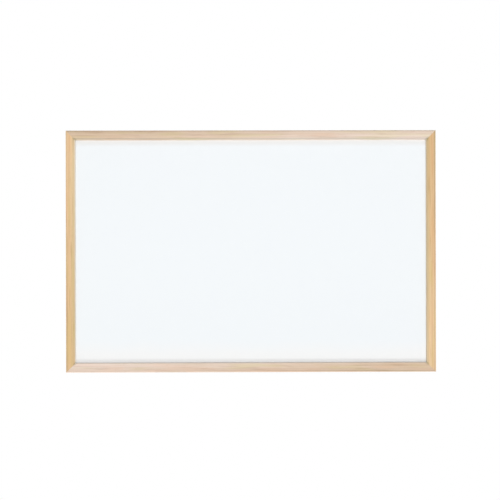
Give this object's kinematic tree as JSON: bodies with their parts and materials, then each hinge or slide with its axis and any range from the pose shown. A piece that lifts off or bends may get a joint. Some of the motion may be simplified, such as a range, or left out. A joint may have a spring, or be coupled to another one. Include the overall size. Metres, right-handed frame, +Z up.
{
  "type": "whiteboard",
  "caption": "Wall-hung dry-erase whiteboard: a white enamelled steel writing surface set back in a mitred light wood frame, with keyhole hangers let into the back.",
  "frame": {"origin": "on the wall plane, midway between the tops of the two keyhole slots that the board hangs on", "axes": "+X to the right seen from the front, +Y from the writing face towards the wall, +Z up"},
  "size_m": [0.918, 0.018, 0.6],
  "materials": {
    "rail_wood": "satin",
    "stile_wood": "satin",
    "writing_enamel": "gloss",
    "hardboard": "matte",
    "fastener_steel": "satin",
    "hanger_steel": "satin"
  },
  "bodies": {
    "root": {"top_rail": "rail_wood", "bottom_rail": "rail_wood", "left_stile": "stile_wood", "right_stile": "stile_wood", "writing_sheet": "writing_enamel", "backing_board": "hardboard", "panel_point_top_rail_1": "fastener_steel", "panel_point_top_rail_2": "fastener_steel", "panel_point_top_rail_3": "fastener_steel", "panel_point_top_rail_4": "fastener_steel", "panel_point_top_rail_5": "fastener_steel", "panel_point_bottom_rail_1": "fastener_steel", "panel_point_bottom_rail_2": "fastener_steel", "panel_point_bottom_rail_3": "fastener_steel", "panel_point_bottom_rail_4": "fastener_steel", "panel_point_bottom_rail_5": "fastener_steel", "panel_point_left_stile_1": "fastener_steel", "panel_point_left_stile_2": "fastener_steel", "panel_point_left_stile_3": "fastener_steel", "panel_point_right_stile_1": "fastener_steel", "panel_point_right_stile_2": "fastener_steel", "panel_point_right_stile_3": "fastener_steel", "corner_nail_top_left_1": "fastener_steel", "corner_nail_top_left_2": "fastener_steel", "corner_nail_top_right_1": "fastener_steel", "corner_nail_top_right_2": "fastener_steel", "corner_nail_bottom_left_1": "fastener_steel", "corner_nail_bottom_left_2": "fastener_steel", "corner_nail_bottom_right_1": "fastener_steel", "corner_nail_bottom_right_2": "fastener_steel", "hanger_left": "hanger_steel", "hanger_right": "hanger_steel", "hanger_screw_left_upper": "hanger_steel", "hanger_screw_left_lower": "hanger_steel", "hanger_screw_right_upper": "hanger_steel", "hanger_screw_right_lower": "hanger_steel"}
  },
  "joints": []
}
